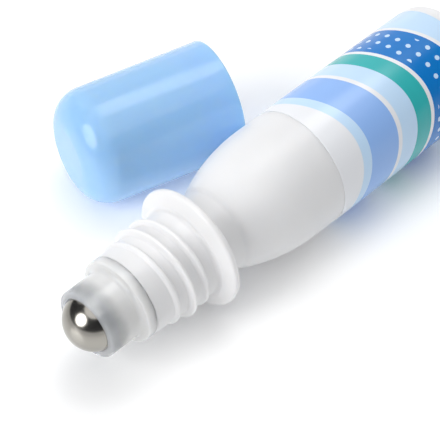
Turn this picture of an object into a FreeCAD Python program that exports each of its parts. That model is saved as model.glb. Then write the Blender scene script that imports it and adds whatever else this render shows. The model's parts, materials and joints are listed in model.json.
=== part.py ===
"""Roll-on bottle lying on its side with its cap taken off beside it.

The bottle is drawn standing on its base: radius across, height above the base upwards.
Every piece is then laid down, with the bottle's axis along +X and its ball at the +X end.
The floor is the plane z = 0, and the origin is the middle of the floor under the set.
Lengths are millimetres.
"""
import FreeCAD, Part
import math
import os
import Sketcher

OUT_FOLDER = "parts"
QUARTER_TURN = 90
FULL_TURN = 360

DRIVING_SIZES = (
    # bottle: blow-moulded shell
    ("body_radius", "10.0"),
    ("body_wall", "1.0"),
    ("base_thickness", "1.2"),
    ("base_edge", "1.4"),
    ("base_foot", "0.9"),
    ("base_hollow", "0.7"),
    ("straight_height", "39.5"),
    ("shoulder_arc", "31.0"),
    ("shoulder_lip", "0.43"),
    ("root_wall", "1.3"),
    ("root_step", "0.6"),
    ("root_length", "3.7"),
    # bottle: bead and neck
    ("bead_back", "0.9"),
    ("bead_rim", "1.15"),
    ("bead_face", "0.75"),
    ("bead_ledge", "0.75"),
    ("neck_taper", "0.4"),
    ("neck_wall", "1.45"),
    ("neck_length", "12.0"),
    # label: wrapped film
    ("label_film", "0.08"),
    ("label_foot", "2.6"),
    ("label_head", "4.8"),
    ("label_seam", "0.4"),
    # ball and its housing
    ("ball_radius", "4.76"),
    ("ball_clearance", "0.06"),
    ("ball_below_lip", "1.7"),
    ("flange_thickness", "1.35"),
    ("flange_edge", "0.35"),
    ("flange_ledge", "1.3"),
    ("nose_wall", "0.83"),
    ("nose_length", "6.35"),
    ("nose_fillet", "0.6"),
    ("lip_edge", "0.45"),
    ("orifice_radius", "1.6"),
    ("floor_thickness", "1.0"),
    ("plug_wall", "0.9"),
    ("plug_length", "7.5"),
    ("plug_clearance", "0.02"),
    ("seal_rise", "0.28"),
    ("seal_width", "0.9"),
    ("seal_pitch", "1.9"),
    ("channel_width", "0.8"),
    ("channel_depth", "0.4"),
    ("channel_reach", "3.6"),
    # cap: one-piece screw cap
    ("cap_inset", "0.4"),
    ("cap_taper", "0.17"),
    ("cap_headroom", "2.0"),
    ("cap_edge", "5.2"),
    ("cap_wall", "0.95"),
    ("cap_top", "1.3"),
    ("cap_lead", "0.3"),
    ("ring_radius", "3.5"),
    ("ring_wall", "0.8"),
    ("ring_press", "0.1"),
    # the set as it lies
    ("cap_behind", "7.3"),
    ("cap_gap", "0.6"),
)
CAP_TURN = 16.3
SEAL_COUNT = 3
SEAL_FLANK_SHARE = 0.3
CHANNEL_COUNT = 4

doc = FreeCAD.newDocument("RollOnBottle")
sheet = doc.addObject("Spreadsheet::Sheet", "Dims")


class Size:
    """A length with its present value and the sheet expression that gives it."""

    def __init__(self, text, value):
        self.text = text
        self.value = value

    def joined(self, sign, other, value):
        return Size("(%s %s %s)" % (self.text, sign, words(other)), value)

    def __add__(self, other):
        return self.joined("+", other, self.value + number(other))

    def __sub__(self, other):
        return self.joined("-", other, self.value - number(other))

    def __mul__(self, other):
        return self.joined("*", other, self.value * number(other))

    def __truediv__(self, other):
        return self.joined("/", other, self.value / number(other))


def number(size):
    return size.value if isinstance(size, Size) else size


def words(size):
    return size.text if isinstance(size, Size) else str(size)


def root(size):
    return Size("sqrt(%s)" % size.text, math.sqrt(size.value))


def leg(long_side, short_side):
    """Third side of a right-angled triangle."""
    return root(long_side * long_side - short_side * short_side)


def fill_sheet():
    """Write the driving sizes into the sheet and return them by name."""
    sizes = {}
    for row, (alias, value) in enumerate(DRIVING_SIZES, start=1):
        cell = "A%d" % row
        sheet.set(cell, value)
        sheet.setAlias(cell, alias)
        sizes[alias] = Size("Dims." + alias, float(value))
    doc.recompute()
    return sizes


class Named:
    """Sizes as attributes."""

    def __init__(self, sizes):
        self.__dict__.update(sizes)


d = Named(fill_sheet())

# Radii that several pieces share, from the ball out to the body
seat_radius = d.ball_radius + d.ball_clearance
nose_radius = seat_radius + d.nose_wall
rim_radius = nose_radius + d.flange_ledge
bore_radius = rim_radius - d.neck_wall
seal_radius = bore_radius - d.plug_clearance
neck_foot_radius = rim_radius + d.neck_taper
bead_face_radius = neck_foot_radius + d.bead_ledge
bead_radius = d.body_radius + d.label_film
cap_mouth_radius = bead_radius - d.cap_inset
cap_crown_radius = cap_mouth_radius - d.cap_taper

# The shoulder's arc starts on the body's side and ends at the groove behind the bead
root_radius = bore_radius + d.root_wall
shoulder_edge = root_radius + d.shoulder_lip
shoulder_centre = d.shoulder_arc - d.body_radius
shoulder_height = leg(d.shoulder_arc, shoulder_edge + shoulder_centre)

# Heights above the base that several pieces share
shoulder_top = d.straight_height + shoulder_height
root_start = shoulder_top + d.root_step
root_end = root_start + d.root_length
bead_back_edge = root_end + d.bead_back
bead_front_edge = bead_back_edge + d.bead_rim
bead_face_end = bead_front_edge + d.bead_face
rim_height = bead_face_end + d.neck_length
flange_top = rim_height + d.flange_thickness
lip_height = flange_top + d.nose_length
ball_height = lip_height - d.ball_below_lip
tip_height = ball_height + d.ball_radius

# The closed cap's mouth sits on the bead's bevel, and its end clears the ball
mouth_inside = cap_mouth_radius - d.cap_wall + d.cap_lead
bevel_share = (mouth_inside - bead_face_radius) / (bead_radius - bead_face_radius)
closed_mouth = bead_face_end - d.bead_face * bevel_share
cap_length = tip_height + d.cap_headroom + d.cap_top - closed_mouth
cap_edge_start = cap_length - d.cap_edge


def origin_part(body, role):
    """A plane or an axis of the body's own origin."""
    for item in body.Origin.OriginFeatures:
        if item.Role == role:
            return item
    raise RuntimeError("the body's origin has no " + role)


def arc_between(start, end, radius, left):
    """Counter-clockwise arc of a given radius, with its centre left or right of the way from start to end."""
    chord = end - start
    half = chord.Length / 2
    normal = FreeCAD.Vector(-chord.y, chord.x, 0).normalize()
    reach = math.sqrt(max(radius * radius - half * half, 0))
    centre = (start + end) * 0.5 + normal * (reach if left else -reach)
    first, last = (start, end) if left else (end, start)
    angles = [math.atan2(point.y - centre.y, point.x - centre.x) for point in (first, last)]
    if angles[1] < angles[0]:
        angles[1] += 2 * math.pi
    circle = Part.Circle(centre, FreeCAD.Vector(0, 0, 1), radius)
    return Part.ArcOfCircle(circle, *angles)


def tie(sketch, kind, place, size):
    """Add one dimension to a sketch and bind it to the sheet."""
    index = sketch.addConstraint(Sketcher.Constraint(kind, *place, size.value))
    sketch.setExpression("Constraints[%d]" % index, size.text)


def outline(body, name, corners):
    """Closed sketch on the body's XZ plane: radius across, height up.

    A corner is (radius, height) or (radius, height, bend): a bend is (arc radius, left),
    and makes the way to the next corner an arc with its centre to the left or the right.
    """
    sketch = body.newObject("Sketcher::SketchObject", name)
    sketch.AttachmentSupport = (origin_part(body, "XZ_Plane"), [""])
    sketch.MapMode = "FlatFace"
    points = [FreeCAD.Vector(number(corner[0]), number(corner[1]), 0) for corner in corners]
    starts, ends = [], []
    for index, corner in enumerate(corners):
        start, end = points[index], points[(index + 1) % len(points)]
        if len(corner) == 2:
            sketch.addGeometry(Part.LineSegment(start, end))
            starts.append(1)
            ends.append(2)
        else:
            radius, left = corner[2]
            sketch.addGeometry(arc_between(start, end, radius.value, left))
            starts.append(1 if left else 2)
            ends.append(2 if left else 1)
    for index, corner in enumerate(corners):
        after = (index + 1) % len(corners)
        sketch.addConstraint(Sketcher.Constraint("Coincident", index, ends[index], after, starts[after]))
        here = (-1, 1, index, starts[index])
        for kind, axis, size in (("DistanceX", -2, corner[0]), ("DistanceY", -1, corner[1])):
            if isinstance(size, Size):
                tie(sketch, kind, here, size)
            else:
                sketch.addConstraint(Sketcher.Constraint("PointOnObject", index, starts[index], axis))
        if len(corner) == 3:
            tie(sketch, "Radius", (index,), corner[2][0])
    doc.recompute()
    return sketch


def new_body(label):
    body = doc.addObject("PartDesign::Body", "Body_" + label)
    body.Label = label
    return body


def revolve(body, corners, name="Profile"):
    sketch = outline(body, name + "Sketch", corners)
    turn = body.newObject("PartDesign::Revolution", name)
    turn.Profile = sketch
    turn.ReferenceAxis = (sketch, ["V_Axis"])
    turn.Angle = FULL_TURN
    doc.recompute()
    return turn


def make_bottle():
    """One blow-moulded shell: hollowed base, straight body, arched shoulder, bead and neck."""
    body = new_body("bottle")
    inner_radius = d.body_radius - d.body_wall
    foot_radius = d.body_radius - d.base_edge
    hollow_radius = foot_radius - d.base_foot
    hollow_arc = (hollow_radius * hollow_radius + d.base_hollow * d.base_hollow) / (d.base_hollow * 2)
    floor_height = d.base_hollow + d.base_thickness
    inner_arc = d.shoulder_arc - d.body_wall
    bore_end = d.straight_height + leg(inner_arc, bore_radius + shoulder_centre)
    revolve(body, [
        (0, d.base_hollow, (hollow_arc, False)),
        (hollow_radius, 0),
        (foot_radius, 0, (d.base_edge, True)),
        (d.body_radius, d.base_edge),
        (d.body_radius, d.straight_height, (d.shoulder_arc, True)),
        (shoulder_edge, shoulder_top),
        (root_radius, root_start),
        (root_radius, root_end),
        (bead_radius, bead_back_edge),
        (bead_radius, bead_front_edge),
        (bead_face_radius, bead_face_end),
        (neck_foot_radius, bead_face_end),
        (rim_radius, rim_height),
        (bore_radius, rim_height),
        (bore_radius, bore_end, (inner_arc, False)),
        (inner_radius, d.straight_height),
        (inner_radius, floor_height + d.base_edge, (d.base_edge, False)),
        (inner_radius - d.base_edge, floor_height),
        (0, floor_height),
    ])
    return body


def make_label():
    """Film wrapped once round the straight body, its two ends meeting at a narrow seam."""
    body = new_body("label")
    label_top = d.straight_height - d.label_head
    wrap = revolve(body, [
        (d.body_radius, d.label_foot),
        (bead_radius, d.label_foot),
        (bead_radius, label_top),
        (d.body_radius, label_top),
    ])
    seam = d.label_seam / d.body_radius
    wrap.setExpression("Angle", "%d - %s * %d / (2 * pi)" % (FULL_TURN, seam.text, FULL_TURN))
    return body


def make_roller_housing():
    """Plug that carries the ball: sealing skirt, flange on the neck rim, nose and snap lip."""
    body = new_body("roller_housing")
    skirt_foot = rim_height - d.plug_length
    plug_radius = seal_radius - d.seal_rise
    skirt_inside = plug_radius - d.plug_wall
    lip_opening = leg(seat_radius, d.ball_below_lip)
    seat_foot = ball_height - leg(seat_radius, d.orifice_radius)
    under_floor = seat_foot - d.floor_thickness
    seal_flank = d.seal_width * SEAL_FLANK_SHARE
    corners = [
        (d.orifice_radius, under_floor),
        (skirt_inside, under_floor),
        (skirt_inside, skirt_foot),
        (plug_radius, skirt_foot),
    ]
    for ring in range(SEAL_COUNT):
        ring_foot = skirt_foot + d.seal_width / 2 + d.seal_pitch * ring
        ring_top = ring_foot + d.seal_width
        corners += [
            (plug_radius, ring_foot),
            (seal_radius, ring_foot + seal_flank),
            (seal_radius, ring_top - seal_flank),
            (plug_radius, ring_top),
        ]
    corners += [
        (plug_radius, rim_height),
        (rim_radius, rim_height),
        (rim_radius, flange_top - d.flange_edge, (d.flange_edge, True)),
        (rim_radius - d.flange_edge, flange_top),
        (nose_radius + d.nose_fillet, flange_top, (d.nose_fillet, False)),
        (nose_radius, flange_top + d.nose_fillet),
        (nose_radius, lip_height - d.lip_edge, (d.lip_edge, True)),
        (nose_radius - d.lip_edge, lip_height),
        (lip_opening, lip_height, (seat_radius, False)),
        (d.orifice_radius, seat_foot),
    ]
    revolve(body, corners)
    cut_seat_channels(body)
    return body


def cut_seat_channels(body):
    """Shallow channels in the ball's seat that let the liquid reach the ball."""
    channel_arc = seat_radius + d.channel_depth
    channel_start = d.orifice_radius / 2
    channel_foot = ball_height - leg(channel_arc, channel_start)
    channel_end = ball_height - leg(channel_arc, d.channel_reach)
    sketch = outline(body, "ChannelSketch", [
        (channel_start, channel_foot, (channel_arc, True)),
        (d.channel_reach, channel_end),
        (d.channel_reach, ball_height),
        (channel_start, ball_height),
    ])
    channel = body.newObject("PartDesign::Pocket", "Channel")
    channel.Profile = sketch
    channel.Midplane = True
    channel.setExpression("Length", d.channel_width.text)
    doc.recompute()
    ring = body.newObject("PartDesign::PolarPattern", "Channels")
    ring.Originals = [channel]
    ring.Axis = (origin_part(body, "Z_Axis"), [""])
    ring.Angle = FULL_TURN
    ring.Occurrences = CHANNEL_COUNT
    body.Tip = ring
    doc.recompute()


def make_ball():
    """Solid steel ball in its seat."""
    ball = doc.addObject("Part::Sphere", "Ball")
    ball.Label = "ball"
    ball.setExpression("Radius", d.ball_radius.text)
    return ball


def make_cap():
    """Smooth cup with a slight taper, a well rounded crown and an inner ring.

    Screwed down, its mouth sits on the bead's bevel and the ring presses the ball into its seat.
    """
    body = new_body("cap")
    inner_top = cap_length - d.cap_top
    inner_edge = d.cap_edge - d.cap_top
    inner_crown = cap_crown_radius - d.cap_wall
    ring_inside = d.ring_radius - d.ring_wall
    ring_on_ball = ball_height + leg(d.ball_radius, ring_inside)
    ring_foot = ring_on_ball - d.ring_press - closed_mouth
    revolve(body, [
        (cap_mouth_radius, 0),
        (cap_crown_radius, cap_edge_start, (d.cap_edge, True)),
        (cap_crown_radius - d.cap_edge, cap_length),
        (0, cap_length),
        (0, inner_top),
        (ring_inside, inner_top),
        (ring_inside, ring_foot),
        (d.ring_radius, ring_foot),
        (d.ring_radius, inner_top),
        (inner_crown - inner_edge, inner_top, (inner_edge, False)),
        (inner_crown, cap_edge_start),
        (mouth_inside - d.cap_lead, d.cap_lead),
        (mouth_inside, 0),
    ])
    return body


def lay(piece, along, aside, up, turn=0, dip="0 deg"):
    """Lay a standing piece down: its axis along +X, turned about Z and dipped at its far end."""
    base = "vector(%s; %s; %s)" % (words(along), words(aside), words(up))
    pose = "rotation(%s deg; %d deg + %s; 0 deg)" % (turn, QUARTER_TURN, dip)
    piece.setExpression("Placement", "placement(%s; %s)" % (base, pose))


def lay_out(bottle, label, roller_housing, ball, cap):
    """Bottle level on its bead and label, and the cap on its side beside it, clear of it by a gap."""
    turn_sine = math.sin(math.radians(CAP_TURN))
    turn_cosine = math.cos(math.radians(CAP_TURN))
    mouth_aside = bead_radius + d.cap_gap + cap_mouth_radius * turn_cosine
    crown_flat = cap_crown_radius - d.cap_edge
    crown_aside = cap_edge_start * turn_sine + crown_flat * turn_cosine + d.cap_edge
    width = bead_radius + mouth_aside + crown_aside
    base_along = tip_height / -2
    bottle_aside = width / 2 - bead_radius
    for piece in (bottle, label, roller_housing):
        lay(piece, base_along, bottle_aside, bead_radius)
    lay(ball, base_along + ball_height, bottle_aside, bead_radius)
    taper = d.cap_taper / cap_edge_start
    dip = "atan(%s)" % taper.text
    mouth_up = cap_mouth_radius / root(taper * taper + 1)
    mouth_along = base_along + d.straight_height - d.cap_behind
    lay(cap, mouth_along, bottle_aside - mouth_aside, mouth_up, -CAP_TURN, dip)


def check(pieces):
    """Stop if anything in the document failed, or a piece is not one valid solid."""
    for item in doc.Objects:
        if "Invalid" in item.State or "Error" in item.State:
            raise RuntimeError("%s failed: %s" % (item.Label, item.State))
    for piece in pieces:
        shape = piece.Shape
        if shape.isNull() or not shape.isValid() or len(shape.Solids) != 1:
            raise RuntimeError(piece.Label + " is not one valid solid")


pieces = (make_bottle(), make_label(), make_roller_housing(), make_ball(), make_cap())
lay_out(*pieces)
doc.recompute()
check(pieces)
os.makedirs(OUT_FOLDER, exist_ok=True)
for piece in pieces:
    piece.Shape.exportStep("%s/%s.step" % (OUT_FOLDER, piece.Label))
    box = piece.Shape.BoundBox
    print("%-15s %8.1f mm3  x %.2f %.2f  y %.2f %.2f  z %.3f %.3f" % (
        piece.Label, piece.Shape.Volume, box.XMin, box.XMax, box.YMin, box.YMax, box.ZMin, box.ZMax))
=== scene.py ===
import json
import math

import bpy
import numpy as np
from bpy.props import FloatProperty, FloatVectorProperty, IntProperty, PointerProperty
from bpy.types import Operator, Panel, PropertyGroup
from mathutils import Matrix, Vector


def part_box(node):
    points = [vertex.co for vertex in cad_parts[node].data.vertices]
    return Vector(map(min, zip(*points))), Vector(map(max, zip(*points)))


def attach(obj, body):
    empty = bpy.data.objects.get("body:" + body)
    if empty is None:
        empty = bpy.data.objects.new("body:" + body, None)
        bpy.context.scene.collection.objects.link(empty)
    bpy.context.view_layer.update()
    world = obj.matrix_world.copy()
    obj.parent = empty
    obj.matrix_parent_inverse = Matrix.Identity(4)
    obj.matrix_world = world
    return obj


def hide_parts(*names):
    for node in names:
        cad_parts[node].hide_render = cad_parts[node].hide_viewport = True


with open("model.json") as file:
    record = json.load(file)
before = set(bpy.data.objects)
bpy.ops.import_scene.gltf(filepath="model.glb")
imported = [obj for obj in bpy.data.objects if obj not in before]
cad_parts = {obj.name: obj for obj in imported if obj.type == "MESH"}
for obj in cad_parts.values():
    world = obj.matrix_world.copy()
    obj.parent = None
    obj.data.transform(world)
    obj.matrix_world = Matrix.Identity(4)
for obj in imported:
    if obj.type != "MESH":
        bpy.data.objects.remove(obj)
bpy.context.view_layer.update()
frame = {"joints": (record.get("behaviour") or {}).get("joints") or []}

bl_info = {
    "name": "Roll-On Bottle",
    "version": (1, 0, 0),
    "blender": (4, 5, 0),
    "location": "View3D > Sidebar > Roll-On",
    "description": "Builds a plastic roll-on bottle lying on its side, with its cap taken off beside it",
    "category": "Add Mesh",
}

MM = 0.001
FRAME_PIXELS = 440
SENSOR_MM = 36.0
FULL_TURN = 2 * math.pi
SHARP_EDGE = math.radians(40)
SAME_POINT = 1e-9

# Points round each piece, and the spacing of the rows on threaded walls
BOTTLE_COLUMNS = 196
LABEL_COLUMNS = 240
HOUSING_COLUMNS = 240
BALL_ROWS, BALL_COLUMNS = 129, 192
CAP_COLUMNS = 224
THREAD_ROWS = 0.11 * MM

# Crest of a thread: turns from its first end, and share of the full height there.
# The neck's rises slowly in its first turn, is full in the second, and ends in a low last turn near the rim.
NECK_THREAD = ((0.0, 0.2, 0.6, 1.0, 1.3, 1.7, 2.1, 2.75, 2.9), (0, 0.55, 0.75, 0.95, 1, 0.95, 0.46, 0.40, 0))
CAP_THREAD = ((0.0, 0.12, 1.9, 2.1), (0, 1, 1, 0))

# Soft lamps: name, direction, width in degrees, strength, and whether it is mirrored in glossy surfaces
LAMPS = (
    ("top_lamp", (0.0, 0.10, 0.99), 70, 1.20, True),
    ("front_lamp", (0.842, -0.156, 0.516), 41, 1.80, True),
    ("back_lamp", (-0.50, -0.60, 0.62), 80, 0.95, True),
    ("side_lamp", (-0.38, -0.18, 0.91), 30, 0.42, True),
    ("fill_lamp", (0.55, 0.25, 0.80), 50, 0.17, False),
)


def linear(hex_text):
    """Linear red, green, blue of an sRGB hex colour such as "8CB9F0"."""
    level = np.array([int(hex_text[i:i + 2], 16) for i in (0, 2, 4)]) / 255
    low = level / 12.92
    high = ((level + 0.055) / 1.055) ** 2.4
    return tuple(np.where(level <= 0.04045, low, high).tolist())


def length(name, description, value_mm):
    """A length property whose default is given in millimetres."""
    return FloatProperty(name=name, description=description, default=value_mm * MM, unit="LENGTH", precision=5)


def colour(name, description, hex_text):
    """A colour property whose default is given in sRGB hex."""
    return FloatVectorProperty(
        name=name, description=description, default=linear(hex_text), size=3, subtype="COLOR", min=0, max=1)


def angle(name, description, degrees):
    """An angle property whose default is given in degrees."""
    return FloatProperty(name=name, description=description, default=math.radians(degrees), subtype="ANGLE")


def share(name, description, value):
    """A plain share from 0 to 1."""
    return FloatProperty(name=name, description=description, default=value, subtype="FACTOR", min=0, max=1)


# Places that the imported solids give
BOTTLE_LOW, BOTTLE_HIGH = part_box("bottle")
LABEL_LOW, LABEL_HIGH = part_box("label")
BALL_LOW, BALL_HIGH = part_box("ball")
CAP_LOW, CAP_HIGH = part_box("cap")
BASE_X = BOTTLE_LOW.x
BALL_CENTRE = (BALL_LOW + BALL_HIGH) / 2
BALL_RADIUS_MM = (BALL_HIGH.x - BALL_LOW.x) / 2 / MM
CAP_AXIS = next(Vector(joint["axis"]) for joint in frame["joints"] if joint["child"] == "cap")


class BottleSettings(PropertyGroup):
    """Sizes and colour of the blow-moulded bottle. Heights count from its base."""

    body_radius: length("Body Radius", "Outside of the straight body", 10.0)
    wall: length("Wall", "Wall thickness of the body", 1.0)
    base_edge: length("Base Edge", "Rounding where base and body meet", 1.4)
    base_foot: length("Base Foot", "Width of the ring that the bottle stands on", 0.9)
    base_hollow: length("Base Hollow", "Depth of the hollow inside the foot ring", 0.7)
    base_thickness: length("Base Thickness", "Thickness of the base above its hollow", 1.2)
    straight_height: length("Straight Height", "Height where the shoulder starts", 39.5)
    shoulder_arc: length("Shoulder Arc", "Radius of the shoulder's outline", 31.0)
    shoulder_edge: length("Shoulder Edge", "Radius where the shoulder ends", 7.23)
    root_radius: length("Groove Radius", "Radius of the groove behind the bead", 6.8)
    root_step: length("Groove Step", "Length of the step from shoulder to groove", 0.6)
    root_length: length("Groove Length", "Length of the groove's floor", 3.7)
    bead_back: length("Bead Back", "Length of the bead's rear slope", 0.9)
    bead_rim: length("Bead Rim", "Width of the bead's rim", 0.9)
    bead_face: length("Bead Face", "Length of the bead's front bevel", 1.0)
    bead_edge: length("Bead Edge", "Rounding of the bead's front edge", 0.5)
    bead_heel: length("Bead Heel", "Rounding of the bead's rear edge and of its face's inner end", 0.4)
    bead_radius: length("Bead Radius", "Outside of the bead", 10.08)
    bead_face_radius: length("Bead Face Radius", "Inner end of the bead's front bevel", 8.1)
    ledge_fall: length("Ledge Fall", "Fall of the ledge between the bead's face and the neck", 0.01)
    neck_foot: length("Neck Foot Radius", "Radius of the neck's core at the bead", 7.35)
    neck_rim: length("Neck Rim Radius", "Radius of the neck's core at its rim", 6.95)
    neck_length: length("Neck Length", "Length of the neck in front of the bead", 12.0)
    bore_radius: length("Bore Radius", "Inside of the neck", 5.5)
    shoulder_round: length("Shoulder Rounding", "Rounding where the shoulder ends", 1.5)
    groove_back: length("Groove Back", "Rounding of the groove towards the shoulder", 1.2)
    groove_front: length("Groove Front", "Rounding of the groove towards the bead", 0.8)
    neck_fillet: length("Neck Fillet", "Fillet between the bead's face and the neck", 0.5)
    rim_edge: length("Rim Edge", "Rounding of the rim's outer edge", 0.2)
    bore_edge: length("Bore Edge", "Rounding of the rim's inner edge", 0.15)
    thread_stop: length("Thread Stop", "Plain length of the neck behind its rim", 0.3)
    thread_pitch: length("Thread Pitch", "Distance between two turns of the thread", 2.75)
    thread_height: length("Thread Height", "Height of the full thread over the neck's core", 1.0)
    thread_front: length("Thread Front", "Width of the thread's flank towards the rim", 0.45)
    thread_back: length("Thread Back", "Width of the thread's flank towards the bead", 0.38)
    thread_start: length("Thread Start", "Distance of the thread's first end from the bead's face", 1.60)
    thread_turn: angle("Thread Turn", "Where the thread's first end lies round the neck", -120)
    tint: colour("Tint", "White of the moulded polyethylene", "EBEBEC")


class LabelSettings(PropertyGroup):
    """Sizes and colours of the wrapped film and its print."""

    film: length("Film", "Thickness of the film", 0.08)
    seam: length("Seam", "Gap between the film's two ends", 0.4)
    wave_height: length("Wave Height", "Height of the waves between the bands", 1.6)
    waves: IntProperty(name="Waves", description="Waves round the bottle", default=2, min=1, max=8)
    dot_pitch: length("Dot Pitch", "Distance between the printed dots", 2.2)
    dot_radius: length("Dot Radius", "Radius of a printed dot", 0.42)
    white: colour("White", "White of the unprinted film", "EAECF0")
    light_blue: colour("Light Blue", "Band near the shoulder", "92B9F2")
    teal: colour("Teal", "Narrow band", "36B2B4")
    royal_blue: colour("Royal Blue", "Wide dark band", "0F78C8")
    pale_blue: colour("Pale Blue", "Ground near the base", "C4E0FA")


class HousingSettings(PropertyGroup):
    """Sizes and colour of the insert that holds the ball. Lengths count from the neck's rim."""

    flange_thickness: length("Flange Thickness", "Thickness of the flange on the neck's rim", 1.6)
    flange_edge: length("Flange Edge", "Rounding of the flange", 0.35)
    nose_radius: length("Nose Radius", "Outside of the nose round the ball", 5.65)
    nose_length: length("Nose Length", "Length of the nose in front of the flange", 6.1)
    nose_fillet: length("Nose Fillet", "Fillet between flange and nose", 0.9)
    lip_edge: length("Lip Edge", "Rounding of the lip", 0.45)
    lip_land: length("Lip Land", "Depth of the lip's inner edge", 0.35)
    ball_gap: length("Ball Gap", "Clearance between ball and seat", 0.06)
    orifice_radius: length("Orifice Radius", "Radius of the hole under the ball", 1.6)
    floor: length("Floor", "Thickness under the seat", 1.0)
    plug_radius: length("Plug Radius", "Outside of the plug in the neck's bore", 5.2)
    plug_wall: length("Plug Wall", "Wall thickness of the plug", 0.9)
    plug_length: length("Plug Length", "Length of the plug below the rim", 7.5)
    plug_edge: length("Plug Edge", "Rounding of the plug's outer end", 0.2)
    floor_fillet: length("Floor Fillet", "Fillet between the floor's underside and the plug", 0.3)
    small_edge: length("Small Edge", "Rounding at the orifice, in the plug's end and under the flange", 0.1)
    fine_edge: length("Fine Edge", "Rounding of the rings, of the flange's rear and in the lip", 0.12)
    seal_radius: length("Seal Radius", "Outside of the sealing rings", 5.48)
    seal_width: length("Seal Width", "Width of a sealing ring", 0.9)
    seal_slope: length("Seal Slope", "Length of a sealing ring's sloping side", 0.27)
    seal_foot: length("Seal Foot", "Fillet at a sealing ring's foot", 0.05)
    seal_pitch: length("Seal Pitch", "Distance between the sealing rings", 1.9)
    seals: IntProperty(name="Seals", description="Sealing rings on the plug", default=3, min=1, max=3)
    channels: IntProperty(name="Channels", description="Flow channels in the seat", default=4, min=1, max=8)
    channel_width: length("Channel Width", "Width of a flow channel", 0.8)
    channel_depth: length("Channel Depth", "Depth of a flow channel", 0.4)
    channel_reach: length("Channel Reach", "Distance of a channel's end from the axis", 3.6)
    channel_side: length("Channel Side", "Width of a channel's sloping side", 0.12)
    channel_end: length("Channel End", "Length of a channel's sloping end", 0.25)
    tint: colour("Tint", "Tint of the natural polyethylene where it is thick", "F6F6F4")
    thin_tint: colour("Thin Tint", "Tint of the thin wall round the ball", "E7ECF3")
    milky_end: length("Milky End", "Distance behind the ball's centre where the milky zone ends", 2.0)
    clear_start: length("Clear Start", "Distance before the ball's centre where the wall is clear", 1.2)
    clearness: share("Clearness", "Share of the thin wall's light that is bent and not scattered", 0.50)
    thick_clearness: share("Thick Clearness", "The same share where the wall is thick", 0.18)
    cover: share("Cover", "Share of the light that the thin wall doesn't let straight through", 0.58)


class BallSettings(PropertyGroup):
    """Size and colour of the steel ball."""

    radius: length("Radius", "Radius of the ball", BALL_RADIUS_MM)
    tint: colour("Tint", "Reflection colour of the steel", "ACA9A2")


class CapSettings(PropertyGroup):
    """Sizes and colour of the screw cap. Lengths count from its mouth."""

    mouth_radius: length("Mouth Radius", "Outside at the mouth", 9.68)
    crown_radius: length("Crown Radius", "Outside where the end's rounding starts", 9.51)
    full_length: length("Full Length", "Length of the cap", 26.4123)
    edge: length("Edge", "Rounding between side and end", 5.2)
    wall: length("Wall", "Wall thickness", 0.95)
    top: length("Top", "Thickness of the closed end", 1.3)
    lead: length("Lead", "Chamfer inside the mouth", 0.3)
    lead_edge: length("Lead Edge", "Rounding of the mouth's inner edge", 0.1)
    mouth_round: length("Mouth Round", "Rounding of the mouth's outer edge", 0.28)
    ring_radius: length("Ring Radius", "Outside of the ring that presses on the ball", 3.5)
    ring_wall: length("Ring Wall", "Wall thickness of the ring", 0.8)
    ring_height: length("Ring Height", "Height of the ring", 2.94)
    ring_edge: length("Ring Edge", "Rounding of the ring's end", 0.15)
    ring_fillet: length("Ring Fillet", "Fillet at the ring's foot", 0.2)
    thread_pitch: length("Thread Pitch", "Distance between two turns of the thread", 2.75)
    thread_height: length("Thread Height", "Height of the thread over the inner wall", 0.9)
    thread_front: length("Thread Front", "Width of the thread's flank towards the mouth", 0.45)
    thread_back: length("Thread Back", "Width of the thread's slope towards the closed end", 0.75)
    thread_start: length("Thread Start", "Distance of the thread's first end from the mouth", 2.6)
    thread_stop: length("Thread Stop", "Plain length of the wall behind the chamfer", 0.2)
    tint: colour("Tint", "Light blue of the polypropylene", "9FCAFF")


class StageSettings(PropertyGroup):
    """Camera, floor and light of the studio."""

    camera_at: FloatVectorProperty(
        name="Camera At", description="Place of the camera", size=3, subtype="TRANSLATION", unit="LENGTH",
        default=(0.15508, 0.15600, 0.23588))
    camera_aim: FloatVectorProperty(
        name="Camera Aim", description="Point in the middle of the picture", size=3, subtype="TRANSLATION",
        unit="LENGTH", default=(0.00981, 0.01185, 0.01008))
    focal_pixels: FloatProperty(
        name="Focal Length in Pixels", description="Focal length in pixels of the square picture",
        default=2018.0)
    floor_size: length("Floor Size", "Side of the square floor", 8000.0)
    floor_tint: colour("Floor", "White of the floor", "FAFAFA")
    floor_glow: share("Floor Glow", "The floor's own light where it is seen or mirrored", 0.08)
    floor_light: share("Floor Light", "The floor's own light on the pieces that lie on it", 0.26)
    floor_shine: share("Floor Shine", "Strength of the floor's mirror image", 0.5)
    room_tint: colour("Room", "Dim room above the horizon", "3A3B3E")
    band_low: angle("Band Low", "Height over the horizon where the white starts to fade", 0.3)
    band_high: angle("Band High", "Height over the horizon where the room is dim", 4)


class RollOnSettings(PropertyGroup):
    """All settings of the roll-on bottle."""

    bottle: PointerProperty(type=BottleSettings)
    label: PointerProperty(type=LabelSettings)
    housing: PointerProperty(type=HousingSettings)
    ball: PointerProperty(type=BallSettings)
    cap: PointerProperty(type=CapSettings)
    stage: PointerProperty(type=StageSettings)


def smooth(low, high, value):
    """Rises from 0 at low to 1 at high along a curve that is level at both ends."""
    t = np.clip((value - low) / (high - low), 0, 1)
    return t * t * (3 - 2 * t)


def arc(centre, radius, start, end, steps):
    """Points (along, radius) on an arc about a centre, from one angle to another."""
    turn = np.linspace(start, end, steps)
    return np.stack([centre[0] + radius * np.cos(turn), centre[1] + radius * np.sin(turn)], axis=-1)


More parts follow.
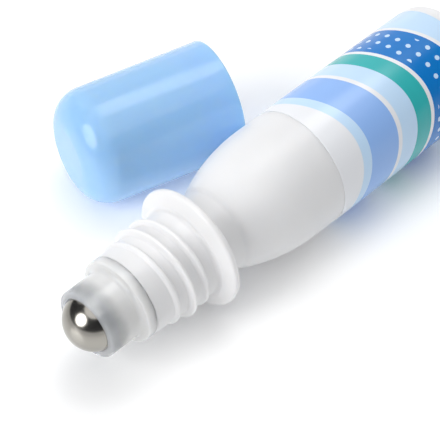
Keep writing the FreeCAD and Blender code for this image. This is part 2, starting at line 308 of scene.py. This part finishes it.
def rounded(corners, steps=7):
    """Outline (along, radius) through corners (along, radius, rounding).

    A corner with a rounding becomes an arc of that radius that touches both of its sides:
    its centre lies on the corner's bisector, at the rounding divided by the sine of the half angle.
    """
    points = np.array([corner[:2] for corner in corners], float)
    pieces = [points[:1]]
    for before, here, after, corner in zip(points, points[1:], points[2:], corners[1:]):
        size = corner[2]
        if size == 0:
            pieces.append(here[None])
            continue
        back = (before - here) / np.linalg.norm(before - here)
        ahead = (after - here) / np.linalg.norm(after - here)
        half = math.acos(np.clip(back @ ahead, -1, 1)) / 2
        bisector = (back + ahead) / np.linalg.norm(back + ahead)
        centre = here + bisector * size / math.sin(half)
        reach = size / math.tan(half)
        first = here + back * reach - centre
        last = here + ahead * reach - centre
        start = math.atan2(first[1], first[0])
        sweep = math.atan2(first[0] * last[1] - first[1] * last[0], first @ last)
        pieces.append(arc(centre, size, start, start + sweep, steps))
    pieces.append(points[-1:])
    return np.concatenate(pieces)


def finer(outline, spacing):
    """The same outline with further points, so that no two are more than a spacing apart."""
    run = np.concatenate([[0], np.cumsum(np.linalg.norm(np.diff(outline, axis=0), axis=1))])
    places = np.union1d(run, np.arange(0, run[-1], spacing))
    return np.stack([np.interp(places, run, outline[:, k]) for k in (0, 1)], axis=-1)


def pose(origin, axis):
    """Origin and three unit rows: along an axis, level across it, and up."""
    along = np.array(axis, float) / np.linalg.norm(axis)
    across = np.cross((0, 0, 1), along)
    across /= np.linalg.norm(across)
    return np.array(origin, float), np.stack([along, across, np.cross(along, across)])


def bottle_pose():
    """The bottle's base centre and its axis towards the ball."""
    return pose((BASE_X, BALL_CENTRE.y, BALL_CENTRE.z), (1, 0, 0))


def turned(outline, columns, place, shape=None):
    """Grid of points on a turned surface, laid along a pose.

    Row i lies outline[i, 0] along the axis and outline[i, 1] away from it, and the columns share the full
    turn. shape may change the along and radius of each point by its angle.
    """
    turn = np.arange(columns) * FULL_TURN / columns
    along = np.repeat(outline[:, :1], columns, axis=1)
    radius = np.repeat(outline[:, 1:], columns, axis=1)
    if shape is not None:
        along, radius = shape(along, radius, turn)
    local = np.stack([along, radius * np.cos(turn), radius * np.sin(turn)], axis=-1)
    origin, rows = place
    return origin + local @ rows


def thread_ridge(along, turn, start, start_turn, pitch, front, back, rise):
    """Height of a right-hand thread over the surface that carries it, as a share of its full height.

    The ridge's crest moves on by one pitch for each turn. The height falls from it as the exponential of minus
    the fourth power of the distance over a width, with one width in front of the crest and another behind it,
    so the crest is nearly flat and its flanks are steep. rise gives the crest's share of the full height by the
    number of turns from the thread's first end.
    """
    place = (along - start) / pitch - (turn - start_turn) / FULL_TURN
    height = 0
    # Each turn of the thread, from one before its first end to one past its last
    for count in range(-1, 4):
        turns = count + (turn - start_turn) / FULL_TURN
        off = (place - count) * pitch
        off = off / np.where(off > 0, front, back)
        height = np.maximum(height, np.exp(-off ** 4) * np.interp(turns, *rise, left=0, right=0))
    return height


def mesh_object(name, points, loop_rows=False, open_columns=False):
    """Closed mesh over a grid of points (rows, columns, 3).

    Columns close into a ring unless they are open, and then a face closes each end. Rows close into a loop if
    asked. A first or last row that is one point becomes a pole. Faces are turned outwards by the sign of the
    enclosed volume.
    """
    rows, columns = points.shape[:2]
    index = np.arange(rows * columns).reshape(rows, columns)
    for row in (0, rows - 1):
        if np.ptp(points[row], axis=0).max() < SAME_POINT:
            index[row] = index[row, 0]
    down = np.roll(index, -1, axis=0) if loop_rows else index[1:]
    here = index if loop_rows else index[:-1]
    right, down_right = np.roll(here, -1, axis=1), np.roll(down, -1, axis=1)
    if open_columns:
        here, right, down, down_right = here[:, :-1], right[:, :-1], down[:, :-1], down_right[:, :-1]
    quads = np.stack([here, right, down_right, down], axis=-1).reshape(-1, 4)
    flat = points.reshape(-1, 3)
    a, b, c, e = (flat[quads[:, k]] for k in range(4))
    volume = (np.cross(a, b) * c).sum() + (np.cross(a, c) * e).sum()
    if volume < 0:
        quads = quads[:, ::-1]
    same_start = quads[:, 0] == quads[:, 1]
    same_end = quads[:, 2] == quads[:, 3]
    whole = quads[~(same_start | same_end)]
    thin = np.concatenate([quads[same_start][:, 1:], quads[same_end][:, :3]])
    # A pole keeps one of its row's points, so the points in use are counted anew
    used = np.unique(index)
    new_index = np.zeros(len(flat), int)
    new_index[used] = np.arange(len(used))
    faces = new_index[whole].tolist() + new_index[thin].tolist()
    if open_columns:
        ends = (index[:, 0], index[:, -1][::-1])
        faces += [new_index[end[::1 if volume < 0 else -1]].tolist() for end in ends]
    mesh = bpy.data.meshes.new(name)
    mesh.from_pydata(flat[used], [], faces)
    mesh.polygons.foreach_set("use_smooth", np.ones(len(mesh.polygons), bool))
    mesh.set_sharp_from_angle(angle=SHARP_EDGE)
    mesh.update()
    if mesh.validate():
        raise RuntimeError(name + " has a broken face")
    made = bpy.data.objects.new(name, mesh)
    bpy.context.scene.collection.objects.link(made)
    return made


def add(tree, kind, inputs=(), stops=(), **settings):
    """Add one node with its settings. An input is a value, or another node's output to link.

    A colour ramp's stops are pairs of place and red, green, blue.
    """
    node = tree.nodes.new(kind)
    for key, value in settings.items():
        setattr(node, key, value)
    for key, value in dict(inputs).items():
        if isinstance(value, bpy.types.NodeSocket):
            tree.links.new(value, node.inputs[key])
        else:
            node.inputs[key].default_value = value
    for count, (place, rgb) in enumerate(stops):
        elements = node.color_ramp.elements
        element = elements[count] if count < len(elements) else elements.new(place)
        element.position = place
        element.color = solid(rgb)
    return node


def new_material(name):
    """An empty node material and its output node."""
    material = bpy.data.materials.new(name)
    material.use_nodes = True
    tree = material.node_tree
    tree.nodes.clear()
    return material, tree, tree.nodes.new("ShaderNodeOutputMaterial")


def solid(rgb):
    """Red, green, blue with full alpha."""
    return (*rgb, 1.0)


def satin_polyethylene(settings):
    """Blow-moulded high-density polyethylene.

    Its skin copies a blasted mould, so highlights are broad and soft. Light enters the wall, which evens
    out the shade and leaves the thread with bright crests.
    """
    material, tree, output = new_material("HDPE blow-moulded satin white")
    place = add(tree, "ShaderNodeTexCoord").outputs["Object"]
    # Mould grain of about 0.35 mm, and flow marks of about 9 mm
    grain = add(tree, "ShaderNodeTexNoise", {"Vector": place, "Scale": 1 / (0.35 * MM), "Detail": 3.0})
    flow = add(tree, "ShaderNodeTexNoise", {"Vector": place, "Scale": 1 / (9 * MM), "Detail": 2.0})
    tint = np.array(settings.tint)
    body = add(tree, "ShaderNodeValToRGB", {"Fac": flow.outputs["Fac"]}, [(0.3, tint * 0.985), (0.7, tint)])
    rough = add(tree, "ShaderNodeMapRange", {"Value": grain.outputs["Fac"], "To Min": 0.30, "To Max": 0.40})
    bump = add(tree, "ShaderNodeBump", {
        "Height": grain.outputs["Fac"], "Strength": 0.12, "Distance": 0.02 * MM})
    shader = add(tree, "ShaderNodeBsdfPrincipled", {
        "Base Color": body.outputs["Color"], "Roughness": rough.outputs["Result"], "IOR": 1.54,
        "Normal": bump.outputs["Normal"], "Subsurface Weight": 0.6,
        "Subsurface Radius": (1.0, 0.95, 0.9), "Subsurface Scale": 1.5 * MM})
    tree.links.new(shader.outputs["BSDF"], output.inputs["Surface"])
    return material


def printed_film(settings, label_length, label_girth):
    """Gloss polypropylene film printed in solid inks, with a crisp reflection over flat colours.

    The print is a run of wavy bands and a field of dots: plain motifs that stand for no product.
    """
    material, tree, output = new_material("BOPP film gloss printed")
    # The piece's own UV map counts millimetres round the bottle and along it from the shoulder
    place = add(tree, "ShaderNodeUVMap", uv_map="Print")
    parts = add(tree, "ShaderNodeSeparateXYZ", {"Vector": place.outputs["UV"]})
    girth_mm, length_mm = label_girth / MM, label_length / MM
    phase = add(tree, "ShaderNodeMath", {0: parts.outputs["X"], 1: FULL_TURN * settings.waves / girth_mm},
                operation="MULTIPLY")
    wave = add(tree, "ShaderNodeMath", {0: phase.outputs[0]}, operation="SINE")
    shift = add(tree, "ShaderNodeMath", {
        0: wave.outputs[0], 1: settings.wave_height / MM, 2: parts.outputs["Y"]}, operation="MULTIPLY_ADD")
    band_share = add(tree, "ShaderNodeMath", {0: shift.outputs[0], 1: 1 / length_mm}, operation="MULTIPLY")
    white, light = np.array(settings.white), np.array(settings.light_blue)
    teal, royal, pale = np.array(settings.teal), np.array(settings.royal_blue), np.array(settings.pale_blue)
    bands = add(tree, "ShaderNodeValToRGB", {"Fac": band_share.outputs[0]}, [
        (0.0, white), (0.11, pale), (0.17, light), (0.36, white), (0.39, pale), (0.50, teal), (0.60, white),
        (0.625, royal), (0.84, white), (0.865, pale)])
    field = add(tree, "ShaderNodeValToRGB", {"Fac": band_share.outputs[0]}, [
        (0.0, (0, 0, 0)), (0.655, (1, 1, 1)), (0.81, (0, 0, 0))])
    bands.color_ramp.interpolation = field.color_ramp.interpolation = "CONSTANT"
    cells = add(tree, "ShaderNodeTexVoronoi", {
        "Vector": place.outputs["UV"], "Scale": MM / settings.dot_pitch, "Randomness": 0.0},
        voronoi_dimensions="2D", feature="F1")
    inside = add(tree, "ShaderNodeMath", {
        0: cells.outputs["Distance"], 1: settings.dot_radius / settings.dot_pitch}, operation="LESS_THAN")
    dots = add(tree, "ShaderNodeMath", {0: inside.outputs[0], 1: field.outputs["Color"]}, operation="MULTIPLY")
    ink = add(tree, "ShaderNodeMix", data_type="RGBA", inputs={
        0: dots.outputs[0], 6: bands.outputs["Color"], 7: solid(pale)})
    # The film copies the bottle's slight waviness, about 4 mm from crest to crest, and its gloss varies with it
    wavy = add(tree, "ShaderNodeTexNoise", {"Vector": place.outputs["UV"], "Scale": 1 / 4, "Detail": 2.0})
    rough = add(tree, "ShaderNodeMapRange", {"Value": wavy.outputs["Fac"], "To Min": 0.18, "To Max": 0.26})
    bump = add(tree, "ShaderNodeBump", {"Height": wavy.outputs["Fac"], "Strength": 0.1, "Distance": 0.03 * MM})
    shader = add(tree, "ShaderNodeBsdfPrincipled", {
        "Base Color": ink.outputs[2], "Roughness": rough.outputs["Result"], "IOR": 1.5,
        "Normal": bump.outputs["Normal"]})
    tree.links.new(shader.outputs["BSDF"], output.inputs["Surface"])
    return material


def natural_polyethylene(settings):
    """Injection-moulded polyethylene without pigment: glossy, milky and half clear.

    The thin wall round the ball is nearly clear and bluish, so the ball shows through it as a soft dark zone.
    The flange and the foot of the nose are thick, and look milky.
    """
    material, tree, output = new_material("LDPE natural gloss moulded")
    place = add(tree, "ShaderNodeTexCoord").outputs["Object"]
    # Haze in clouds of about 2 mm, which also makes the milky zone's edge uneven by about 0.6 mm
    haze = add(tree, "ShaderNodeTexNoise", {"Vector": place, "Scale": 1 / (2 * MM), "Detail": 2.0})
    parts = add(tree, "ShaderNodeSeparateXYZ", {"Vector": place})
    edge = add(tree, "ShaderNodeMath", {
        0: haze.outputs["Fac"], 1: 0.6 * MM, 2: parts.outputs["X"]}, operation="MULTIPLY_ADD")
    thin = add(tree, "ShaderNodeMapRange", {
        "Value": edge.outputs[0], "From Min": BALL_CENTRE.x - settings.milky_end,
        "From Max": BALL_CENTRE.x + settings.clear_start}, interpolation_type="SMOOTHSTEP")
    body = add(tree, "ShaderNodeValToRGB", {"Fac": thin.outputs["Result"]}, [
        (0.0, tuple(settings.tint)), (1.0, tuple(settings.thin_tint))])
    clear = add(tree, "ShaderNodeMapRange", {
        "Value": thin.outputs["Result"], "To Min": settings.thick_clearness, "To Max": settings.clearness})
    cover = add(tree, "ShaderNodeMapRange", {
        "Value": thin.outputs["Result"], "To Min": 1.0, "To Max": settings.cover})
    rough = add(tree, "ShaderNodeMapRange", {"Value": haze.outputs["Fac"], "To Min": 0.05, "To Max": 0.08})
    shader = add(tree, "ShaderNodeBsdfPrincipled", {
        "Base Color": body.outputs["Color"], "Roughness": rough.outputs["Result"], "IOR": 1.51,
        "Transmission Weight": clear.outputs["Result"], "Alpha": cover.outputs["Result"],
        "Subsurface Weight": 1.0,
        "Subsurface Radius": (1.0, 0.97, 0.92), "Subsurface Scale": 3.0 * MM})
    tree.links.new(shader.outputs["BSDF"], output.inputs["Surface"])
    return material


def polished_steel(settings):
    """Stainless steel, lapped and polished: a mirror with slightly soft edges and a warm grey tint."""
    material, tree, output = new_material("Stainless steel polished")
    place = add(tree, "ShaderNodeTexCoord").outputs["Object"]
    # Lapping haze in patches of about 1.5 mm
    haze = add(tree, "ShaderNodeTexNoise", {"Vector": place, "Scale": 1 / (1.5 * MM), "Detail": 4.0})
    rough = add(tree, "ShaderNodeMapRange", {"Value": haze.outputs["Fac"], "To Min": 0.15, "To Max": 0.21})
    shader = add(tree, "ShaderNodeBsdfPrincipled", {
        "Base Color": solid(settings.tint), "Metallic": 1.0, "Roughness": rough.outputs["Result"]})
    tree.links.new(shader.outputs["BSDF"], output.inputs["Surface"])
    return material


def gloss_polypropylene(settings):
    """Injection-moulded pigmented polypropylene from a polished mould: long soft-edged highlights."""
    material, tree, output = new_material("PP gloss light blue")
    place = add(tree, "ShaderNodeTexCoord").outputs["Object"]
    # Sink and flow ripple of about 6 mm, and fine handling marks of about 0.5 mm
    ripple = add(tree, "ShaderNodeTexNoise", {"Vector": place, "Scale": 1 / (6 * MM), "Detail": 1.0})
    marks = add(tree, "ShaderNodeTexNoise", {"Vector": place, "Scale": 1 / (0.5 * MM), "Detail": 3.0})
    tint = np.array(settings.tint)
    body = add(tree, "ShaderNodeValToRGB", {"Fac": ripple.outputs["Fac"]}, [(0.3, tint * 0.98), (0.7, tint)])
    rough = add(tree, "ShaderNodeMapRange", {"Value": marks.outputs["Fac"], "To Min": 0.10, "To Max": 0.16})
    bump = add(tree, "ShaderNodeBump", {
        "Height": ripple.outputs["Fac"], "Strength": 0.1, "Distance": 0.04 * MM})
    shader = add(tree, "ShaderNodeBsdfPrincipled", {
        "Base Color": body.outputs["Color"], "Roughness": rough.outputs["Result"], "IOR": 1.49,
        "Normal": bump.outputs["Normal"], "Subsurface Weight": 0.8,
        "Subsurface Radius": (0.6, 0.8, 1.0), "Subsurface Scale": 2.0 * MM})
    tree.links.new(shader.outputs["BSDF"], output.inputs["Surface"])
    return material


def dress(piece, material, body, node):
    """Give a piece its material and the body that it rides on, and hide the solid that it stands for."""
    piece.data.materials.append(material)
    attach(piece, body)
    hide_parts(node)


class ROLLON_OT_bottle(Operator):
    """Build the hollow bottle with its bead and threaded neck"""

    bl_idname = "roll_on.bottle"
    bl_label = "Bottle"

    def execute(self, context):
        s = context.scene.roll_on.bottle
        foot = s.body_radius - s.base_edge
        hollow = foot - s.base_foot
        dome = (hollow ** 2 + s.base_hollow ** 2) / (2 * s.base_hollow)
        dome_reach = math.asin(hollow / dome)
        centre = s.shoulder_arc - s.body_radius
        shoulder_end = math.acos((s.shoulder_edge + centre) / s.shoulder_arc)
        shoulder_top = s.straight_height + s.shoulder_arc * math.sin(shoulder_end)
        groove = shoulder_top + s.root_step
        groove_end = groove + s.root_length
        bead = groove_end + s.bead_back
        bead_front = bead + s.bead_rim
        face_end = bead_front + s.bead_face
        rim = face_end + s.neck_length
        floor = s.base_hollow + s.base_thickness
        inner = s.body_radius - s.wall
        inner_arc = s.shoulder_arc - s.wall
        inner_end = math.acos((s.bore_radius + centre) / inner_arc)
        base_dome = arc((s.base_hollow - dome, 0), dome, 0, dome_reach, steps=12)
        shoulder = arc(
            (s.straight_height, -centre), s.shoulder_arc, math.pi / 2, math.pi / 2 - shoulder_end, steps=40)
        neck_side = finer(rounded([
            shoulder[-2].tolist() + [0],
            shoulder[-1].tolist() + [s.shoulder_round],
            (groove, s.root_radius, s.groove_back),
            (groove_end, s.root_radius, s.groove_front),
            (bead, s.bead_radius, s.bead_heel),
            (bead_front, s.bead_radius, s.bead_edge),
            (face_end, s.bead_face_radius, s.bead_heel),
            (face_end + s.ledge_fall, s.neck_foot, s.neck_fillet),
            (rim, s.neck_rim, s.rim_edge),
            (rim, s.bore_radius, s.bore_edge),
            (rim - s.neck_length, s.bore_radius, 0),
        ]), THREAD_ROWS)
        inside = arc((s.straight_height, -centre), inner_arc, math.pi / 2 - inner_end, math.pi / 2, steps=24)
        outline = np.concatenate([
            base_dome,
            [(0, hollow), (0, foot)],
            arc((s.base_edge, foot), s.base_edge, math.pi, math.pi / 2, steps=10),
            shoulder[:-1],
            neck_side[1:],
            inside,
            arc((floor + s.base_edge, inner - s.base_edge), s.base_edge, math.pi / 2, math.pi, steps=8),
            [(floor, 0)],
        ])
        mid_wall = (s.bore_radius + s.neck_rim) / 2

        def threaded(along, radius, turn):
            outside = (along > face_end) & (along < rim - s.thread_stop) & (radius > mid_wall)
            ridge = s.thread_height * thread_ridge(
                along, turn, face_end + s.thread_start, s.thread_turn, s.thread_pitch, s.thread_front,
                s.thread_back, NECK_THREAD)
            return along, radius + np.where(outside, ridge, 0)

        piece = mesh_object("bottle_shell", turned(outline, BOTTLE_COLUMNS, bottle_pose(), threaded))
        dress(piece, satin_polyethylene(s), "bottle", "bottle")
        return {"FINISHED"}


class ROLLON_OT_label(Operator):
    """Wrap the printed film round the straight body"""

    bl_idname = "roll_on.label"
    bl_label = "Label"

    def execute(self, context):
        s = context.scene.roll_on.label
        outer = (LABEL_HIGH.z - LABEL_LOW.z) / 2
        start, end = LABEL_LOW.x - BASE_X, LABEL_HIGH.x - BASE_X
        inner = outer - s.film
        # The film's outer edges are rounded over nearly half of its thickness
        edge = s.film * 0.45
        rim = rounded([
            (start, inner, 0), (start, outer, edge), (end, outer, edge), (end, inner, 0)], steps=5)
        gap = s.seam / outer
        turn = np.linspace(gap / 2, FULL_TURN - gap / 2, LABEL_COLUMNS) - math.pi / 2
        along = np.repeat(rim[:, :1], LABEL_COLUMNS, axis=1)
        local = np.stack([along, rim[:, 1:] * np.cos(turn), rim[:, 1:] * np.sin(turn)], axis=-1)
        origin, rows = bottle_pose()
        piece = mesh_object("label_film", origin + local @ rows, loop_rows=True, open_columns=True)
        girth = (FULL_TURN - gap) * outer
        around_mm = np.broadcast_to((turn - turn[0]) * outer / MM, along.shape)
        back_mm = (end - along) / MM
        spots = np.stack([around_mm, back_mm], axis=-1).reshape(-1, 2)
        corners = np.zeros(len(piece.data.loops), int)
        piece.data.loops.foreach_get("vertex_index", corners)
        piece.data.uv_layers.new(name="Print").data.foreach_set("uv", spots[corners].ravel())
        dress(piece, printed_film(s, end - start, girth), "bottle", "label")
        return {"FINISHED"}


class ROLLON_OT_housing(Operator):
    """Build the insert that holds the ball on the neck"""

    bl_idname = "roll_on.housing"
    bl_label = "Ball Housing"

    def execute(self, context):
        s = context.scene.roll_on.housing
        bottle = context.scene.roll_on.bottle
        rim = BOTTLE_HIGH.x - BASE_X
        flange_top = rim + s.flange_thickness
        lip = flange_top + s.nose_length
        ball = BALL_CENTRE.x - BASE_X
        seat = BALL_RADIUS_MM * MM + s.ball_gap
        land = lip - s.lip_land
        lip_open = math.asin((lip - ball) / seat)
        seat_end = math.acos(s.orifice_radius / seat)
        seat_foot = ball - seat * math.sin(seat_end)
        under = seat_foot - s.floor
        foot = rim - s.plug_length
        inside = s.plug_radius - s.plug_wall
        rings = []
        for count in range(s.seals):
            low = foot + s.seal_width / 2 + s.seal_pitch * count
            high = low + s.seal_width
            rings += [
                (low, s.plug_radius, s.seal_foot), (low + s.seal_slope, s.seal_radius, s.fine_edge),
                (high - s.seal_slope, s.seal_radius, s.fine_edge), (high, s.plug_radius, s.seal_foot)]
        outside = rounded([
            (seat_foot, s.orifice_radius, 0),
            (under, s.orifice_radius, s.small_edge),
            (under, inside, s.floor_fillet),
            (foot, inside, s.small_edge),
            (foot, s.plug_radius, s.plug_edge),
            *rings,
            (rim, s.plug_radius, s.small_edge),
            (rim, bottle.neck_rim, s.fine_edge),
            (flange_top, bottle.neck_rim, s.flange_edge),
            (flange_top, s.nose_radius, s.nose_fillet),
            (lip, s.nose_radius, s.lip_edge),
            (lip, seat * math.cos(lip_open), s.fine_edge),
            (land, math.sqrt(seat ** 2 - (land - ball) ** 2), 0),
        ], steps=9)
        seat_top = math.asin((land - ball) / seat)
        cup = arc((ball, 0), seat, math.pi / 2 - seat_top, math.pi / 2 + seat_end, steps=70)[1:]
        outline = np.concatenate([outside, cup])
        cup_row = len(outside)

        def channelled(along, radius, turn):
            step = FULL_TURN / s.channels
            off = (turn + step / 2) % step - step / 2
            side = np.abs(radius * np.sin(off))
            depth = smooth(s.channel_width / 2, s.channel_width / 2 - s.channel_side, side)
            depth *= smooth(s.channel_reach, s.channel_reach - s.channel_end, radius) * s.channel_depth
            depth[:cup_row] = 0
            depth *= along < ball
            grow = 1 + depth / seat
            return ball + (along - ball) * grow, radius * grow

        points = turned(outline, HOUSING_COLUMNS, bottle_pose(), channelled)
        piece = mesh_object("roller_housing_insert", points, loop_rows=True)
        dress(piece, natural_polyethylene(s), "bottle", "roller_housing")
        return {"FINISHED"}


class ROLLON_OT_ball(Operator):
    """Build the steel ball"""

    bl_idname = "roll_on.ball"
    bl_label = "Ball"

    def execute(self, context):
        s = context.scene.roll_on.ball
        outline = arc((0, 0), s.radius, math.pi, 0, BALL_ROWS)
        outline[[0, -1], 1] = 0
        piece = mesh_object("steel_ball", turned(outline, BALL_COLUMNS, pose(BALL_CENTRE, (1, 0, 0))))
        dress(piece, polished_steel(s), "ball", "ball")
        return {"FINISHED"}


class ROLLON_OT_cap(Operator):
    """Build the screw cap with its ring and inner thread"""

    bl_idname = "roll_on.cap"
    bl_label = "Cap"

    def execute(self, context):
        s = context.scene.roll_on.cap
        edge_start = s.full_length - s.edge
        dip = math.atan((s.mouth_radius - s.crown_radius) / edge_start)
        lift = s.mouth_radius * math.cos(dip)
        level = Vector((CAP_AXIS.x, CAP_AXIS.y, 0)).normalized()
        mouth = (CAP_LOW.x - level.y * s.mouth_radius, CAP_HIGH.y - level.x * s.mouth_radius, lift)
        axis = (level.x * math.cos(dip), level.y * math.cos(dip), -math.sin(dip))
        inner_top = s.full_length - s.top
        inner_edge = s.edge - s.top
        inner_crown = s.crown_radius - s.wall
        inner_mouth = s.mouth_radius - s.wall
        ring_inside = s.ring_radius - s.ring_wall
        ring_foot = inner_top - s.ring_height
        crown = arc((edge_start, s.crown_radius - s.edge), s.edge, math.pi / 2, 0, steps=40)
        inner_turn = arc((edge_start, inner_crown - inner_edge), inner_edge, 0, math.pi / 2, steps=24)
        mouth_run = rounded([
            (edge_start, inner_crown, 0),
            (s.lead, inner_mouth, 0),
            (0, inner_mouth + s.lead, s.lead_edge),
            (0, s.mouth_radius, s.mouth_round),
            (edge_start, s.crown_radius, 0),
        ])
        ring = rounded([
            (inner_top, 0, 0),
            (inner_top, ring_inside, s.ring_fillet),
            (ring_foot, ring_inside, s.ring_edge),
            (ring_foot, s.ring_radius, s.ring_edge),
            (inner_top, s.ring_radius, s.ring_fillet),
            inner_turn[0].tolist() + [0],
        ])
        wall = finer(np.stack([inner_turn[-1], mouth_run[1]]), THREAD_ROWS)
        outline = np.concatenate([
            ring, inner_turn[1:], wall[1:], mouth_run[2:], crown[1:], [(s.full_length, 0)]])
        mid_wall = s.mouth_radius - s.wall / 2

        def threaded(along, radius, turn):
            inside = (along > s.lead + s.thread_stop) & (along < edge_start) & (radius < mid_wall)
            ridge = s.thread_height * thread_ridge(
                along, turn, s.thread_start, 0.0, s.thread_pitch, s.thread_back, s.thread_front, CAP_THREAD)
            return along, radius - np.where(inside, ridge, 0)

        piece = mesh_object("screw_cap", turned(outline, CAP_COLUMNS, pose(mouth, axis), threaded))
        dress(piece, gloss_polypropylene(s), "cap", "cap")
        return {"FINISHED"}


class ROLLON_OT_stage(Operator):
    """Set the camera, the white floor, the soft lamps and the dim room"""

    bl_idname = "roll_on.stage"
    bl_label = "Studio"

    def execute(self, context):
        s = context.scene.roll_on.stage
        scene = context.scene
        self.add_camera(scene, s)
        self.add_floor(s)
        self.add_room(scene, s)
        for lamp in LAMPS:
            self.add_lamp(scene, *lamp)
        scene.view_settings.view_transform = "Standard"
        return {"FINISHED"}

    def add_camera(self, scene, s):
        data = bpy.data.cameras.new("camera")
        data.sensor_width = SENSOR_MM
        data.lens = s.focal_pixels / FRAME_PIXELS * SENSOR_MM
        data.clip_start = 10 * MM
        camera = bpy.data.objects.new("camera", data)
        scene.collection.objects.link(camera)
        camera.location = s.camera_at
        aim = Vector(s.camera_aim) - Vector(s.camera_at)
        camera.rotation_euler = aim.to_track_quat("-Z", "Y").to_euler()
        scene.camera = camera

    def add_floor(self, s):
        half = s.floor_size / 2
        mesh = bpy.data.meshes.new("floor")
        corners = [(-half, -half, 0), (half, -half, 0), (half, half, 0), (-half, half, 0)]
        mesh.from_pydata(corners, [], [(0, 1, 2, 3)])
        floor = bpy.data.objects.new("floor", mesh)
        bpy.context.scene.collection.objects.link(floor)
        # A cast acrylic sheet: its soft shine mirrors the front lamp into the underside of the ball.
        # The camera sees it without the shine, so the background stays white from low angles too.
        # Its own light is stronger on the pieces than where it is seen, which brightens their undersides and
        # leaves their shadows.
        material, tree, output = new_material("Acrylic sheet white cast")
        path = add(tree, "ShaderNodeLightPath")
        shine = add(tree, "ShaderNodeMath", {
            0: path.outputs["Is Camera Ray"], 1: -s.floor_shine, 2: s.floor_shine}, operation="MULTIPLY_ADD")
        sheet = add(tree, "ShaderNodeBsdfPrincipled", {
            "Base Color": solid(s.floor_tint), "IOR": 1.49, "Roughness": 0.2,
            "Specular IOR Level": shine.outputs[0]})
        seen = add(tree, "ShaderNodeMath", {
            0: path.outputs["Is Camera Ray"], 1: path.outputs["Is Glossy Ray"]}, operation="MAXIMUM")
        seen = add(tree, "ShaderNodeMath", {
            0: seen.outputs[0], 1: path.outputs["Is Transmission Ray"]}, operation="MAXIMUM")
        strength = add(tree, "ShaderNodeMath", {
            0: seen.outputs[0], 1: s.floor_glow - s.floor_light, 2: s.floor_light}, operation="MULTIPLY_ADD")
        glow = add(tree, "ShaderNodeEmission", {"Strength": strength.outputs[0]})
        both = add(tree, "ShaderNodeAddShader", {0: sheet.outputs[0], 1: glow.outputs[0]})
        tree.links.new(both.outputs[0], output.inputs["Surface"])
        mesh.materials.append(material)

    def add_room(self, scene, s):
        world = bpy.data.worlds.new("studio_room")
        world.use_nodes = True
        tree = world.node_tree
        tree.nodes.clear()
        way = add(tree, "ShaderNodeTexCoord")
        parts = add(tree, "ShaderNodeSeparateXYZ", {"Vector": way.outputs["Generated"]})
        # White at the horizon, fading to the dim room a few degrees over it
        height = add(tree, "ShaderNodeMapRange", {
            "Value": parts.outputs["Z"], "From Min": math.sin(s.band_low), "From Max": math.sin(s.band_high)})
        sky = add(tree, "ShaderNodeValToRGB", {"Fac": height.outputs["Result"]}, [
            (0.0, (1, 1, 1)), (1.0, tuple(s.room_tint))])
        light = add(tree, "ShaderNodeBackground", {"Color": sky.outputs["Color"]})
        add(tree, "ShaderNodeOutputWorld", {"Surface": light.outputs[0]})
        scene.world = world

    def add_lamp(self, scene, name, towards, width, strength, mirrored):
        data = bpy.data.lights.new(name, "SUN")
        data.angle = math.radians(width)
        data.energy = strength
        lamp = bpy.data.objects.new(name, data)
        scene.collection.objects.link(lamp)
        lamp.rotation_euler = Vector(towards).to_track_quat("Z", "Y").to_euler()
        lamp.visible_glossy = mirrored


class ROLLON_PT_panel(Panel):
    """Lists the pieces and their settings"""

    bl_idname = "ROLLON_PT_panel"
    bl_label = "Roll-On Bottle"
    bl_space_type = "VIEW_3D"
    bl_region_type = "UI"
    bl_category = "Roll-On"

    def draw(self, context):
        for operator, group in PIECES:
            box = self.layout.box()
            box.operator(operator.bl_idname)
            settings = getattr(context.scene.roll_on, group)
            for key in settings.__annotations__:
                box.prop(settings, key)


PIECES = (
    (ROLLON_OT_bottle, "bottle"),
    (ROLLON_OT_label, "label"),
    (ROLLON_OT_housing, "housing"),
    (ROLLON_OT_ball, "ball"),
    (ROLLON_OT_cap, "cap"),
    (ROLLON_OT_stage, "stage"),
)
CLASSES = (
    BottleSettings, LabelSettings, HousingSettings, BallSettings, CapSettings, StageSettings, RollOnSettings,
    *(operator for operator, group in PIECES), ROLLON_PT_panel,
)


def register():
    for item in CLASSES:
        bpy.utils.register_class(item)
    bpy.types.Scene.roll_on = PointerProperty(type=RollOnSettings)


def unregister():
    del bpy.types.Scene.roll_on
    for item in reversed(CLASSES):
        bpy.utils.unregister_class(item)


def main():
    register()
    bpy.ops.roll_on.bottle()
    bpy.ops.roll_on.label()
    bpy.ops.roll_on.housing()
    bpy.ops.roll_on.ball()
    bpy.ops.roll_on.cap()
    bpy.ops.roll_on.stage()


if __name__ == "__main__":
    main()
